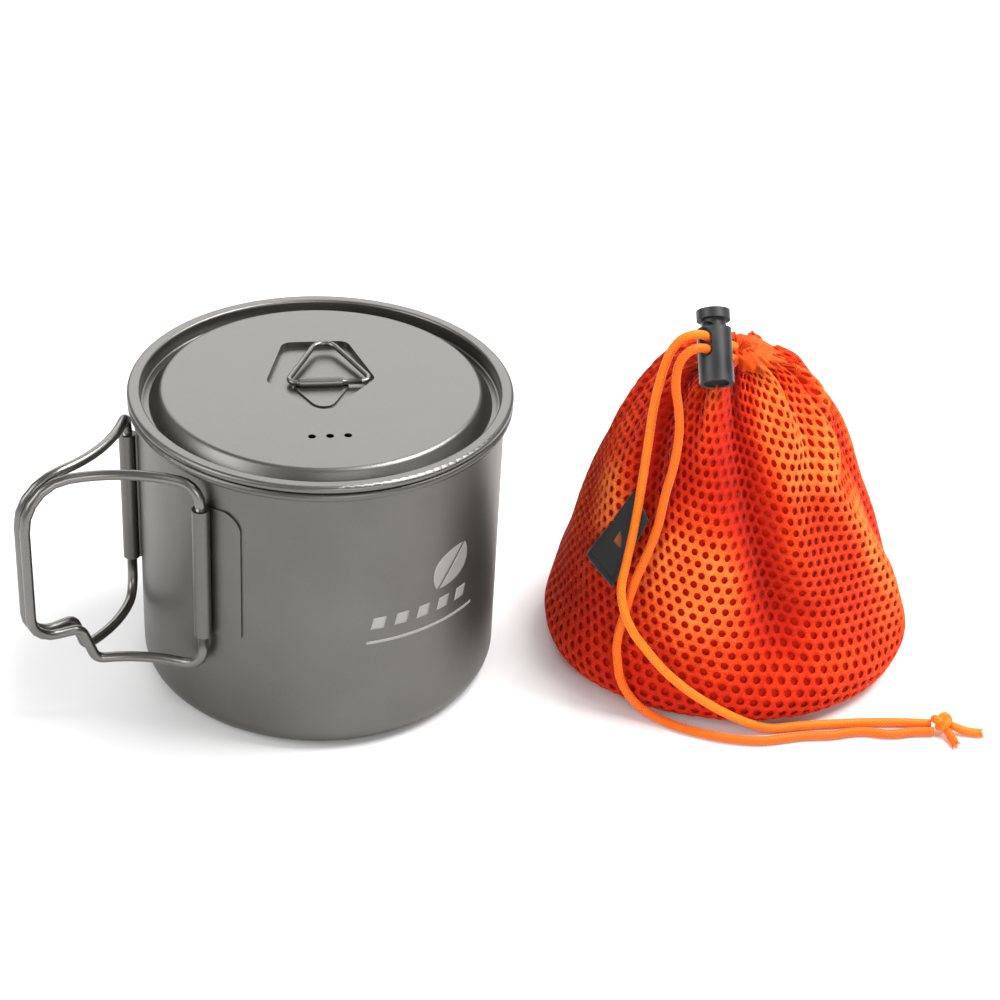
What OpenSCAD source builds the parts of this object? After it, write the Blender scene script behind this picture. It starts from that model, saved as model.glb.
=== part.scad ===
// Titanium camping pot with a lid, two folding wire handles and a mesh drawstring bag.
// Origin: centre of the pot's base, on the surface it stands on. +Z is up.

/* [Pot] */
// Outer diameter of the pot's wall
pot_d = 95; // [90:0.5:100]
// Height of the pot, up to the top of its rolled rim
pot_h = 80; // [76:0.5:84]
// Thickness of the sheet
sheet_t = 0.5; // [0.3:0.1:0.6]
// Radius of the bend between base and wall
base_r = 6; // [4:0.5:9]
// Diameter of the rolled rim
rim_d = 2.4; // [2:0.1:2.6]

/* [Lid] */
// Diameter of the raised flat centre
plateau_d = 82; // [76:1:84]
// Depth of the round channel inside the lid's rim
channel_depth = 4.2; // [3:0.1:5]
// Diameter of the lid's rolled edge
lid_bead_d = 2; // [1.6:0.1:2.1]
// Gap between the lid's skirt and the pot's wall
lid_gap = 0.3; // [0.2:0.1:0.6]
// How far the lid is turned on the pot, in degrees
lid_turn = 5; // [0:1:30]
// Diameter of each steam hole
vent_d = 2; // [1.5:0.1:3]
// Distance from one steam hole to the next
vent_pitch = 4.5; // [3.5:0.5:6]
// Distance of the steam holes from the lid's centre
vent_reach = 25.5; // [22:0.5:32]

/* [Lid ring] */
// Diameter of the ring's wire
ring_wire_d = 1.5; // [1.2:0.1:1.8]
// Width of the ring along its hinge
ring_w = 20.4; // [20:0.2:22]
// Reach of the ring from its hinge
ring_reach = 22; // [18:0.5:24]
// Length of the rolled strap that holds the ring
strap_l = 11; // [8:0.5:11.5]
// Depth of the pressed hollow under the ring
hollow_depth = 1.5; // [1:0.1:2]

/* [Handles] */
// Diameter of the handle wire
wire_d = 2.7; // [2.4:0.1:3]
// Distance of each hinge from the pot's axis
hinge_r = 50; // [49.8:0.1:51]
// Angle of each hinge from the middle of the handle pair
hinge_half = 24.2; // [22:0.2:28]
// Direction of the handle pair, in degrees from +X
handle_turn = 210; // [180:1:240]
// Angle of the open handle from the line through its hinge
handle_open = 83.4; // [80:0.2:83.6]
// Height of the handle's top bar
top_bar_z = 76.4; // [74:0.1:76.6]
// Height of the ledge at the lower outer corner
ledge_z = 31.3; // [29:0.1:33]
// Height of the handle's bottom bar
bottom_bar_z = 21.3; // [18:0.1:23]
// Height of the bracket's lower end
bracket_z = 32; // [30:0.5:34]
// Length of the bracket along its hinge
bracket_l = 37.8; // [36:0.2:38.2]
// Angle that the bracket's tab reaches along the wall from its hinge
tab_reach = 11.8; // [9:0.2:14]

/* [Bag] */
// Thickness of the woven label
label_t = 0.8; // [0.6:0.1:1.2]
// Diameter of the drawcord
cord_d = 2.4; // [2:0.1:3]

/* [Cord lock] */
// Outer diameter of the cord lock's barrel
lock_d = 9; // [8.8:0.1:9.6]
// Length of the barrel
barrel_l = 14.5; // [14.5:0.1:15.5]
// Diameter of the plunger
plunger_d = 6.44; // [6.4:0.01:6.46]
// Length of the plunger that stands out of the barrel, under its cap
neck_l = 2.4; // [2.2:0.1:3]
// Thickness of the plunger's cap
cap_t = 2.6; // [2:0.1:3]
// How far the plunger can be pressed
press = 2; // [1.5:0.1:2]

/* [Hidden] */
$fn = 64;

// Colours
titanium = [0.55, 0.54, 0.52];
titanium_wire = [0.62, 0.60, 0.57];
orange_mesh = [0.95, 0.35, 0.08];
orange_cord = [1.0, 0.55, 0.1];
black_plastic = [0.1, 0.1, 0.11];
steel = [0.7, 0.7, 0.72];

// Heights and radii that follow from the sizes above
pot_r = pot_d / 2;
rim_r = pot_r - sheet_t / 2 + rim_d / 2;
wire_r = wire_d / 2;
pin_gap = 0.04;
lid_seat = 0.1;
lid_t = 0.4;
lid_z = pot_h + lid_seat + lid_bead_d;
floor_z = lid_z - hollow_depth;
skirt_r = pot_r - sheet_t - lid_gap;
pin_l = 15;
run_lead = 0.25;

// ---- Shared geometry ----

function unit(v) = v / norm(v);

// Points of the round that joins lines a-b and b-c with radius r
function corner(a, b, c, r, steps) =
  let (
    u = unit(a - b),
    v = unit(c - b),
    half = acos(u * v) / 2,
    centre = b + unit(u + v) * r / sin(half),
    from = b + u * r / tan(half) - centre,
    to = b + v * r / tan(half) - centre,
    a0 = atan2(from.y, from.x),
    turn = atan2(from.x * to.y - from.y * to.x, from * to)
  )
  [for (i = [0:steps]) centre + r * [cos(a0 + turn * i / steps), sin(a0 + turn * i / steps)]];

// The same round with a point on each straight run beside it, so that the runs keep their direction
function led_corner(a, b, c, r, steps, lead) =
  let (p = corner(a, b, c, r, steps))
  lead > 0 ? concat([p[0] + unit(a - b) * lead], p, [p[steps] + unit(c - b) * lead]) : p;

// An open outline whose inner corners are rounded
function rounded_path(pts, radii, steps = 6, lead = 0) = [
  pts[0],
  for (i = [1:len(pts) - 2]) each led_corner(pts[i - 1], pts[i], pts[i + 1], radii[i - 1], steps, lead),
  pts[len(pts) - 1]
];

// A closed outline whose corners are all rounded
function rounded_loop(pts, radii, steps = 6) = [
  for (i = [0:len(pts) - 1])
    each corner(pts[(i + len(pts) - 1) % len(pts)], pts[i], pts[(i + 1) % len(pts)], radii[i], steps)
];

// Direction square to a path at point i
function path_normal(p, i) =
  let (d = unit(p[min(i + 1, len(p) - 1)] - p[max(i - 1, 0)]))
  [-d.y, d.x];

// The section of a bent sheet of thickness t along a centre path
module sheet_section(path, t) {
  last = len(path) - 1;
  left = [for (i = [0:last]) path[i] + path_normal(path, i) * t / 2];
  right = [for (i = [last:-1:0]) path[i] - path_normal(path, i) * t / 2];
  polygon(concat(left, right));
}

// A closed solid through rings of points, all rings the same length
module ring_solid(rings) {
  n = len(rings[0]);
  m = len(rings);
  sides = [
    for (j = [0:m - 2], i = [0:n - 1])
      let (a = j * n + i, b = a + n, c = (j + 1) * n + (i + 1) % n, d = c - n)
      each [[a, b, c], [a, c, d]]
  ];
  bottom = [[for (i = [0:n - 1]) i]];
  top = [[for (i = [n - 1:-1:0]) (m - 1) * n + i]];
  polyhedron([for (r = rings) each r], concat(bottom, sides, top), convexity = 6);
}

// Smooth curve through four neighbouring points, between the middle two
function spline(a, b, c, d, t) =
  0.5 * (2 * b + (c - a) * t + (2 * a - 5 * b + 4 * c - d) * t * t + (3 * b - a - 3 * c + d) * t * t * t);

function smooth_route(p, per) =
  let (n = len(p) - 1)
  concat(
    [
      for (i = [0:n - 1], k = [0:per - 1])
        spline(p[max(i - 1, 0)], p[i], p[i + 1], p[min(i + 2, n)], k / per)
    ],
    [p[n]]
  );

// Ring of eight points round a route, at point i
function tube_ring(p, i, r, heart) =
  let (
    t = unit(p[min(i + 1, len(p) - 1)] - p[max(i - 1, 0)]),
    side = unit(cross(t, p[i] - heart)),
    up = cross(t, side)
  )
  [for (k = [0:7]) p[i] + r * (cos(45 * k) * side + sin(45 * k) * up)];

module tube(p, r, heart) {
  ring_solid([for (i = [0:len(p) - 1]) tube_ring(p, i, r, heart)]);
}

// ---- Pot ----

module pot_body() {
  mid = sheet_t / 2;
  wall = [
    [0, mid],
    [pot_r - mid, mid],
    [pot_r - mid, pot_h - rim_d / 2]
  ];
  color(titanium)
    union() {
      rotate_extrude($fn = 96) sheet_section(rounded_path(wall, [base_r], 10, run_lead), sheet_t);
      rotate_extrude($fn = 96)
        translate([rim_r, pot_h - rim_d / 2]) circle(d = rim_d);
    }
}

// ---- Handle brackets: a strip rolled round the wire, its two layers welded to the wall ----

module bracket_section() {
  roll_r = wire_r + pin_gap;
  tab_cut = 80;
  roll_bite = 0.3;
  difference() {
    union() {
      translate([hinge_r, 0]) circle(r = hinge_r - pot_r - roll_bite);
      intersection() {
        difference() {
          circle(r = pot_r + sheet_t, $fn = 128);
          circle(r = pot_r, $fn = 128);
        }
        polygon([
          [0, 0],
          [tab_cut * cos(-1), tab_cut * sin(-1)],
          [tab_cut * cos(tab_reach), tab_cut * sin(tab_reach)]
        ]);
      }
    }
    translate([hinge_r, 0]) circle(r = roll_r);
  }
}

// Radii of the tab's two outer corners
tab_top_r = 6;
tab_foot_r = 2;

// Tool that rounds one outer corner of the tab, meeting its edges at a slight angle
module tab_corner(r, z, up) {
  depth = 6;
  spare = 1;
  centre = r * 0.97;
  rotate([0, 0, tab_reach])
    translate([pot_r - depth / 2, 0, z])
      difference() {
        translate([0, -r, up > 0 ? -r : -spare]) cube([depth, r + depth / 2, r + spare]);
        translate([-spare, -centre, -up * centre]) rotate([0, 90, 0]) cylinder(r = r, h = depth + 2 * spare);
      }
}

module bracket() {
  color(titanium)
    difference() {
      translate([0, 0, bracket_z]) linear_extrude(bracket_l) bracket_section();
      tab_corner(tab_top_r, bracket_z + bracket_l, 1);
      tab_corner(tab_foot_r, bracket_z, -1);
    }
}

// Places a left-hand piece at the near hinge, or its mirror image at the far one
module at_hinges(near) {
  rotate([0, 0, handle_turn])
    mirror([0, near ? 0 : 1, 0])
      rotate([0, 0, hinge_half])
        children();
}

module near_bracket() {
  at_hinges(true) bracket();
}

module far_bracket() {
  at_hinges(false) bracket();
}

// ---- Handles: one wire, bent in plan so that it lies round the pot when it is folded ----

plan_r = 39;
grip_run = 45;
step_run_out = 32;
step_run_in = 28.5;
top_bend = 5.5;
top_corner = 12;
lower_corner = 7;
step_bend = 2.8;
lower_bend = 6;
ring_pitch = 3.5;
handle_sides = 14;
sweep_inset = 0.02;

// Outline of the wire, as run along its plan curve against height
function handle_outline(low, high) = rounded_path(
  [
    [0, high],
    [0, top_bar_z],
    [grip_run, top_bar_z],
    [grip_run, ledge_z],
    [step_run_out, ledge_z],
    [step_run_in, bottom_bar_z],
    [0, bottom_bar_z],
    [0, low]
  ],
  [top_bend, top_corner, lower_corner, step_bend, step_bend, lower_bend],
  5
);

// Adds points so that no stretch of a path is longer than pitch
function split_runs(p, pitch) = [
  for (i = [0:len(p) - 2])
    let (n = max(1, round(norm(p[i + 1] - p[i]) / pitch)))
    for (k = [0:n - 1]) p[i] + (p[i + 1] - p[i]) * k / n,
  p[len(p) - 1]
];

// Lays an outline of run against height on an upright cylinder of radius r
function on_cylinder(q, r) =
  let (a = q.x / r * 180 / PI)
  [r * sin(a), r * (1 - cos(a)), q.y];

// Ring of points round a wire at point i, given the direction square to the wire's surface
function wire_ring(p, i, square, r, sides) =
  let (
    t = unit(p[min(i + 1, len(p) - 1)] - p[max(i - 1, 0)]),
    across = cross(t, square)
  )
  [for (k = [0:sides - 1]) p[i] + r * (cos(360 * k / sides) * square + sin(360 * k / sides) * across)];

module handle_wire() {
  bracket_top = bracket_z + bracket_l;
  stand_out = 0.6;
  flat = split_runs(handle_outline(bracket_z - stand_out + 1, bracket_top + stand_out - 1), ring_pitch);
  path = [for (q = flat) on_cylinder(q, plan_r)];
  square = [for (q = flat) let (a = q.x / plan_r * 180 / PI) [sin(a), -cos(a), 0]];
  ring_solid([
    for (i = [0:len(path) - 1]) wire_ring(path, i, square[i], wire_r - sweep_inset, handle_sides)
  ]);
  translate([0, 0, bracket_top - pin_l]) cylinder(r = wire_r, h = pin_l + stand_out);
  translate([0, 0, bracket_z - stand_out]) cylinder(r = wire_r, h = pin_l + stand_out);
}

module handle() {
  color(titanium_wire)
    translate([hinge_r, 0, 0]) rotate([0, 0, -handle_open]) handle_wire();
}

module near_handle() {
  at_hinges(true) handle();
}

module far_handle() {
  at_hinges(false) handle();
}

// ---- Lid ----

// Outline of the pressed hollow, larger by grow all round
function hollow_outline(grow) =
  rounded_loop(
    [
      [-8.5 - grow, 23 + grow],
      [-14.2 - grow, 2.5],
      [0, -14.5 - grow * 1.3],
      [14.2 + grow, 2.5],
      [8.5 + grow, 23 + grow]
    ],
    [3, 3, 4, 3, 3]
  );

module lid_shell() {
  mid_z = lid_z - lid_t / 2;
  low_z = lid_z - channel_depth - lid_t / 2;
  bead_x = rim_r + 0.25;
  path = rounded_path(
    [
      [0, mid_z],
      [plateau_d / 2, mid_z],
      [plateau_d / 2 + 3, low_z],
      [skirt_r - lid_t / 2, low_z],
      [skirt_r - lid_t / 2, mid_z],
      [bead_x, mid_z]
    ],
    [1.4, 0.7, 0.7, 0.5],
    6,
    run_lead
  );
  rotate_extrude($fn = 96)
    union() {
      sheet_section(path, lid_t);
      translate([bead_x, lid_z - lid_bead_d / 2]) circle(d = lid_bead_d);
    }
}

module vents(drop) {
  for (i = [-1:1])
    translate([i * vent_pitch, -vent_reach, lid_z - drop]) cylinder(d = vent_d, h = drop + 1, $fn = 32);
}

module lid() {
  color(titanium)
    rotate([0, 0, lid_turn]) {
      difference() {
        lid_shell();
        translate([0, 0, lid_z - 1]) linear_extrude(2) polygon(hollow_outline(0));
        vents(1);
      }
      translate([0, 0, floor_z - lid_t]) linear_extrude(lid_t) polygon(hollow_outline(lid_t));
      translate([0, 0, floor_z])
        linear_extrude(hollow_depth - 0.1)
          difference() {
            polygon(hollow_outline(lid_t));
            polygon(hollow_outline(0));
          }
    }
}

// ---- Strap: a leaf on the hollow's floor, rolled round the ring's wire ----

strap_t = 0.5;
strap_bore = ring_wire_d / 2 + 0.05;
strap_axis_y = 1.5;
strap_axis_z = floor_z + strap_bore + strap_t;

module lid_strap() {
  leaf = rounded_loop([[-7.5, strap_axis_y], [7.5, strap_axis_y], [0, -13]], [0.6, 0.6, 3.2]);
  color(titanium)
    rotate([0, 0, lid_turn]) {
      difference() {
        union() {
          translate([0, 0, floor_z]) linear_extrude(strap_t) polygon(leaf);
          translate([-strap_l / 2, strap_axis_y, strap_axis_z])
            rotate([0, 90, 0]) cylinder(r = strap_bore + strap_t, h = strap_l, $fn = 32);
        }
        translate([-strap_l, strap_axis_y, strap_axis_z])
          rotate([0, 90, 0]) cylinder(r = strap_bore, h = 2 * strap_l, $fn = 32);
      }
    }
}

// ---- Ring: a triangle of wire, slid to one side in its strap, lying back on the lid ----

ring_side_shift = 2.2;
ring_corner_r = 1.9;
ring_tip_r = 3.4;
ring_rise = asin((lid_z + ring_wire_d / 2 + 0.05 - strap_axis_z) / (ring_reach - 1));

module lid_ring() {
  tip = [0, ring_reach + 1.6];
  left = [-ring_w / 2 - 1.2, 0];
  right = [ring_w / 2 + 1.2, 0];
  pin_half = ring_w / 2 - 2;
  wire_ring_r = ring_wire_d / 2;
  outline = rounded_path(
    [[pin_half - 0.5, 0], right, tip, left, [0.5 - pin_half, 0]],
    [ring_corner_r, ring_tip_r, ring_corner_r],
    5
  );
  path = [for (q = split_runs(outline, 4)) [q.x, q.y, 0]];
  color(titanium_wire)
    rotate([0, 0, lid_turn])
      translate([ring_side_shift, strap_axis_y, strap_axis_z])
        rotate([ring_rise, 0, 0]) {
          ring_solid([
            for (i = [0:len(path) - 1]) wire_ring(path, i, [0, 0, 1], wire_ring_r - sweep_inset, 12)
          ]);
          translate([-pin_half, 0, 0]) rotate([0, 90, 0]) cylinder(r = wire_ring_r, h = 2 * pin_half);
        }
}

// ---- Bag ----

// Levels of the bag's outer shape: height, centre x and y, half width and half depth
bag_levels = [
  [0, 113, 7, 41, 39],
  [1.5, 113.2, 7, 45.5, 42.5],
  [4, 113.5, 7, 48.2, 45],
  [8.5, 113.7, 7, 49.4, 45.5],
  [14, 113.5, 7.5, 49.2, 44.6],
  [24, 112, 8, 47, 42.5],
  [36, 111, 8, 43, 38.5],
  [48, 110, 8, 38.5, 34],
  [60, 109, 8, 34, 29.5],
  [71, 108.5, 8, 28.5, 24],
  [80, 108, 8, 22.5, 18],
  [86, 108, 8, 17.5, 12.5]
];

// The gathered channel above the bag
hem_levels = [
  [86, 108, 8, 17.5, 12.5],
  [88.5, 108.5, 8, 12.5, 10],
  [90.5, 108.5, 8, 9, 8.5],
  [92, 108.5, 8, 7.4, 7.2],
  [93.2, 108.5, 8, 7.2, 7]
];

function level_ring(l, n) = [
  for (i = [0:n - 1]) [l[1] + l[3] * cos(360 * i / n), l[2] + l[4] * sin(360 * i / n), l[0]]
];

module bag_body() {
  color(orange_mesh) ring_solid([for (l = bag_levels) level_ring(l, 40)]);
}

module bag_hem() {
  color(orange_mesh) ring_solid([for (l = hem_levels) level_ring(l, 40)]);
}

// The label is a flat kite, sewn on the bag's shoulder
label_at = [78.7, -14.5, 43.3];
label_lean = 20.5;
label_heading = -139;

module bag_label() {
  outline = [[-8.4, -7.2], [2.8, -11.4], [6.9, 9.9], [-0.6, 15.2]];
  color(black_plastic)
    translate(label_at)
      rotate([0, 0, label_heading + 90])
        rotate([90 - label_lean, 0, 0])
          linear_extrude(label_t) polygon(outline);
}

// ---- Drawcord ----

module cord_channel_loop() {
  color(orange_cord)
    translate([108.5, 8, 89.6])
      rotate_extrude() translate([5.2, 0]) circle(d = cord_d, $fn = 24);
}

// Routes of the two free strands, from the bag's neck through the lock to the knot
strand_a_route = [
  [107.2, 5, 92.4], [104.8, 3.3, 94.2], [102.8, 1.7, 95.7], [100.7, 0.2, 97.2], [98.6, -1.4, 98.7],
  [96.9, -2.6, 99.9], [94.2, -3.5, 100.4], [91.3, -3.6, 98.9], [89, -3.4, 95], [87.4, -3.4, 88.5],
  [86, -4.5, 80], [85, -8, 73], [83.5, -13, 62],
  [82, -17, 51], [80.2, -20.9, 42.2], [78.8, -24.9, 36.2], [79.7, -28.3, 31], [82, -30.5, 26.5],
  [85, -31.5, 22.5], [90.5, -34.5, 17], [97, -37.5, 12.5], [105, -39.5, 8], [113, -40, 4],
  [120, -39.5, 1.6], [129, -38, 1.35], [140, -37, 1.35], [148.5, -36.5, 1.35], [156.5, -36.5, 1.35],
  [164, -37, 1.35]
];
strand_b_route = [
  [107, 2.4, 90.2], [104.9, 0.8, 91.7], [102.8, -0.8, 93.2], [100.8, -2.3, 94.8], [98.7, -3.9, 96.3],
  [97.3, -4.9, 97.3], [95.3, -6, 97.8], [93, -6.8, 97], [91.2, -7.3, 94.7], [90.5, -7.7, 91.5],
  [90.6, -8.3, 87], [91.6, -9.4, 82], [92, -11.8, 76], [91, -15, 68.5], [89, -18, 61],
  [87.5, -20.5, 53], [85, -22.5, 45], [82.5, -23.5, 37.5], [80.5, -25, 29.5], [79, -26, 21],
  [79, -27.5, 16], [80.5, -30.5, 9.5], [85, -33, 4], [91.5, -36.5, 1.6], [99, -40.5, 1.35],
  [108, -43.5, 1.35], [117, -44.5, 1.35], [128, -42.5, 1.35], [136, -42, 1.35], [144, -40.5, 1.35],
  [152, -41.5, 1.35], [159, -40.5, 1.35], [164, -40.5, 1.35]
];
knot_at = [166.5, -38.6, 3.4];
knot_d = 6.6;
tail_a_route = [[168.5, -39, 2.6], [173, -40.2, 1.35], [177, -41, 1.35]];
tail_b_route = [[167.3, -40.6, 2.6], [168.3, -43, 1.35], [169, -45.5, 1.35]];

// Point below the bag that every stretch of cord faces away from
cord_heart = [110, 8, -40];

module strand(route) {
  color(orange_cord) tube(smooth_route(route, 1), cord_d / 2, cord_heart);
}

module cord_strand_a() {
  strand(strand_a_route);
}

module cord_strand_b() {
  strand(strand_b_route);
}

module cord_knot() {
  color(orange_cord) translate(knot_at) sphere(d = knot_d, $fn = 32);
}

module cord_tails() {
  strand(tail_a_route);
  strand(tail_b_route);
}

// ---- Cord lock: barrel, plunger and spring along one leaning axis ----

lock_at = [101, -8.4, 88.9];
lock_lean = -46;
lock_skew = 2;
bore_d = plunger_d + 0.15;
slot_w = 3.8;
slot_l = 7.8;
slot_z = 10.2;
slot_turn = -135;
floor_t = 1.4;
pocket_d = 4.4;
spring_top = 4;

module at_lock() {
  translate(lock_at) rotate([0, 0, lock_skew]) rotate([lock_lean, 0, 0]) children();
}

// Tool for the cord's way through: a slot with round ends
module cord_slot(z0, z1) {
  rotate([0, 0, slot_turn])
    rotate([0, 90, 0]) {
      for (z = [z0 + slot_w / 2, z1 - slot_w / 2])
        translate([-z, 0, -lock_d]) cylinder(d = slot_w, h = 2 * lock_d, $fn = 32);
      translate([slot_w / 2 - z1, -slot_w / 2, -lock_d]) cube([z1 - z0 - slot_w, slot_w, 2 * lock_d]);
    }
}

module lock_barrel() {
  color(black_plastic)
    at_lock()
      difference() {
        cylinder(d = lock_d, h = barrel_l);
        translate([0, 0, floor_t]) cylinder(d = bore_d, h = barrel_l);
        translate([0, 0, -1]) cylinder(d = lock_d - 2.4, h = 1.6);
        cord_slot(slot_z - slot_l / 2, slot_z + slot_l / 2);
      }
}

module lock_plunger() {
  foot_z = floor_t + press + 0.3;
  color(black_plastic)
    at_lock()
      difference() {
        union() {
          translate([0, 0, foot_z]) cylinder(d = plunger_d, h = barrel_l + neck_l - foot_z + 0.5);
          translate([0, 0, barrel_l + neck_l]) cylinder(d = lock_d - 0.2, h = cap_t);
        }
        translate([0, 0, foot_z - 1]) cylinder(d = pocket_d, h = spring_top + press - foot_z + 1.3);
        cord_slot(slot_z - slot_l / 2, slot_z + slot_l / 2 + press);
      }
}

// Helix of the spring, drawn at its pressed height
module lock_spring() {
  coil_r = 1.7;
  spring_wire = 0.4;
  turns = 3;
  steps = 14;
  rise = spring_top - floor_t - 2 * spring_wire;
  n = turns * steps;
  path = [
    for (i = [0:n])
      [coil_r * cos(360 * i / steps), coil_r * sin(360 * i / steps), floor_t + spring_wire + rise * i / n]
  ];
  color(steel) at_lock() tube(path, spring_wire / 2, [0, 0, -200]);
}

pot_body();
near_bracket();
far_bracket();
near_handle();
far_handle();
lid();
lid_strap();
lid_ring();
bag_body();
bag_hem();
bag_label();
cord_channel_loop();
lock_barrel();
lock_plunger();
lock_spring();
cord_strand_a();
cord_strand_b();
cord_knot();
cord_tails();
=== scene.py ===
import math
import random
import bpy
import numpy as np
from mathutils import Matrix, Vector


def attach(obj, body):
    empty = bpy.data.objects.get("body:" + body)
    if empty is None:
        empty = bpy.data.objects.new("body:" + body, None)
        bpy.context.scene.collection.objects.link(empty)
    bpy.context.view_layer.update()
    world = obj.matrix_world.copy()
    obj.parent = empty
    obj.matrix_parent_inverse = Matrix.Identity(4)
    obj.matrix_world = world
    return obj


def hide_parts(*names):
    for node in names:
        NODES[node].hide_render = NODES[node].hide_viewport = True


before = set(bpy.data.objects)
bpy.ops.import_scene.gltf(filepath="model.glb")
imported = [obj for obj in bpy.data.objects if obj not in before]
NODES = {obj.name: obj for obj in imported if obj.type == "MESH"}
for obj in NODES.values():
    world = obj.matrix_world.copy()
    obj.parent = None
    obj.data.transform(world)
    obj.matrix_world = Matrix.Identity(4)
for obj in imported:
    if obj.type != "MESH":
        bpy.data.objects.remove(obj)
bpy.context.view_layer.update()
MM = 0.001

# ---------------------------------------------------------------- camera

CAM_LENS = 82.8
CAM_SENSOR = 36
CAM_NEAR = 0.01
CAM_AT = Vector((0, -0.515693, 0.378747))
CAM_RIGHT = Vector((0.996908, -0.059603, 0.051212))
CAM_UP = Vector((-0.010832, 0.541251, 0.840791))
CAM_AHEAD = Vector((0.077832, 0.838746, -0.538931))

cam_data = bpy.data.cameras.new("camera")
cam_data.lens = CAM_LENS
cam_data.sensor_width = CAM_SENSOR
cam_data.clip_start = CAM_NEAR
cam = bpy.data.objects.new("camera", cam_data)
bpy.context.scene.collection.objects.link(cam)
cam_turn = Matrix((CAM_RIGHT, CAM_UP, -CAM_AHEAD)).transposed().to_4x4()
cam.matrix_world = Matrix.Translation(CAM_AT) @ cam_turn
bpy.context.scene.camera = cam


# ---------------------------------------------------------------- shared mesh helpers

def add_mesh(name, verts, faces, uvs=None, smooth=True):
    """A mesh object from vertices in mm, with uvs given per vertex."""
    me = bpy.data.meshes.new(name)
    me.from_pydata([tuple(float(c) * MM for c in v) for v in verts], [], faces)
    if uvs is not None:
        layer = me.uv_layers.new(name="UVMap")
        loops = np.zeros(len(me.loops), np.int32)
        me.loops.foreach_get("vertex_index", loops)
        layer.data.foreach_set("uv", np.asarray(uvs, np.float32)[loops].ravel())
    me.polygons.foreach_set("use_smooth", [smooth] * len(me.polygons))
    me.update()
    ob = bpy.data.objects.new(name, me)
    bpy.context.scene.collection.objects.link(ob)
    return ob


def catmull(points, per):
    """A smooth run of points through the given ones."""
    p = np.asarray(points, float)
    n = len(p) - 1
    out = []
    for i in range(n):
        a, b, c, d = p[max(i - 1, 0)], p[i], p[i + 1], p[min(i + 2, n)]
        for k in range(per):
            t = k / per
            out.append(0.5 * (2 * b + (c - a) * t + (2 * a - 5 * b + 4 * c - d) * t * t
                              + (3 * b - a - 3 * c + d) * t ** 3))
    out.append(p[n])
    return np.array(out)


def resample(points, step):
    """Points spaced evenly along a run."""
    gaps = np.linalg.norm(np.diff(points, axis=0), axis=1)
    at = np.concatenate([[0], np.cumsum(gaps)])
    n = max(2, int(round(at[-1] / step)))
    want = np.linspace(0, at[-1], n + 1)
    return np.stack([np.interp(want, at, points[:, k]) for k in range(3)], axis=1), at[-1]


def frames(p):
    """Tangent, side and up directions along a run, turning as little as they can."""
    t = np.gradient(p, axis=0)
    t /= np.linalg.norm(t, axis=1)[:, None]
    side = np.cross(t[0], (0.1, 0.2, 1.0))
    side /= np.linalg.norm(side)
    sides = [side]
    for i in range(1, len(p)):
        s = sides[-1] - t[i] * np.dot(sides[-1], t[i])
        sides.append(s / np.linalg.norm(s))
    sides = np.array(sides)
    return t, sides, np.cross(t, sides)


def braid_height(a, b):
    """Relief of a flat braid, from 0 to 1, at yarn coordinates a and b."""
    i, j = np.floor(a), np.floor(b)
    u, v = a - i, b - j
    over = ((i + j) % 2) == 0
    cross_u = np.sqrt(np.clip(1 - (2 * u - 1) ** 2, 0, 1))
    cross_v = np.sqrt(np.clip(1 - (2 * v - 1) ** 2, 0, 1))
    height = np.where(over, cross_u * (0.55 + 0.45 * cross_v), cross_v * (0.55 + 0.45 * cross_u))
    return height, over


YARN_SHIFT = 1000  # even, so that it keeps the yarn coordinates above 0 and the pattern where it is


def braid_tube(name, points, d, sides=28, step=0.16, yarns=8, lay=0.95, relief=0.17,
               taper=0.0, closed=False):
    """A braided cord along points, with its yarns raised. uv: over or under, and relief."""
    p, length = resample(points, step)
    t, s, w = frames(p)
    n = len(p) - 1 if closed else len(p)
    along = np.linspace(0, length, len(p))[:n, None]
    ang = np.linspace(0, 2 * np.pi, sides, endpoint=False)[None, :]
    lap = ang / (2 * np.pi) * yarns
    a, b = lap + along / lay, lap - along / lay
    h, over = braid_height(a + YARN_SHIFT, b + YARN_SHIFT)
    r = d / 2 - relief * (1 - h)
    if taper:
        end = np.clip(along / taper, 0, 1) * np.clip((length - along) / taper, 0, 1)
        r = r * np.sqrt(np.clip(1 - (1 - np.clip(end, 0, 1)) ** 2, 0.02, 1))
    ring = (p[:n, None, :] + r[..., None] * (np.cos(ang)[..., None] * s[:n, None, :]
                                             + np.sin(ang)[..., None] * w[:n, None, :]))
    verts = ring.reshape(-1, 3)
    # the relief in v is used by the cord's material to paint shade into the gaps between yarns
    uv = np.stack([np.where(over, 0.25, 0.75) + 0 * h, h], axis=-1).reshape(-1, 2)
    faces = []
    rows = n if closed else n - 1
    for i in range(rows):
        i2 = (i + 1) % n
        for k in range(sides):
            k2 = (k + 1) % sides
            faces.append((i * sides + k, i * sides + k2, i2 * sides + k2, i2 * sides + k))
    if not closed:
        faces.append(tuple(range(sides - 1, -1, -1)))
        faces.append(tuple(range((n - 1) * sides, n * sides)))
    return add_mesh(name, verts, faces, uv), p


# ---------------------------------------------------------------- cords

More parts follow.
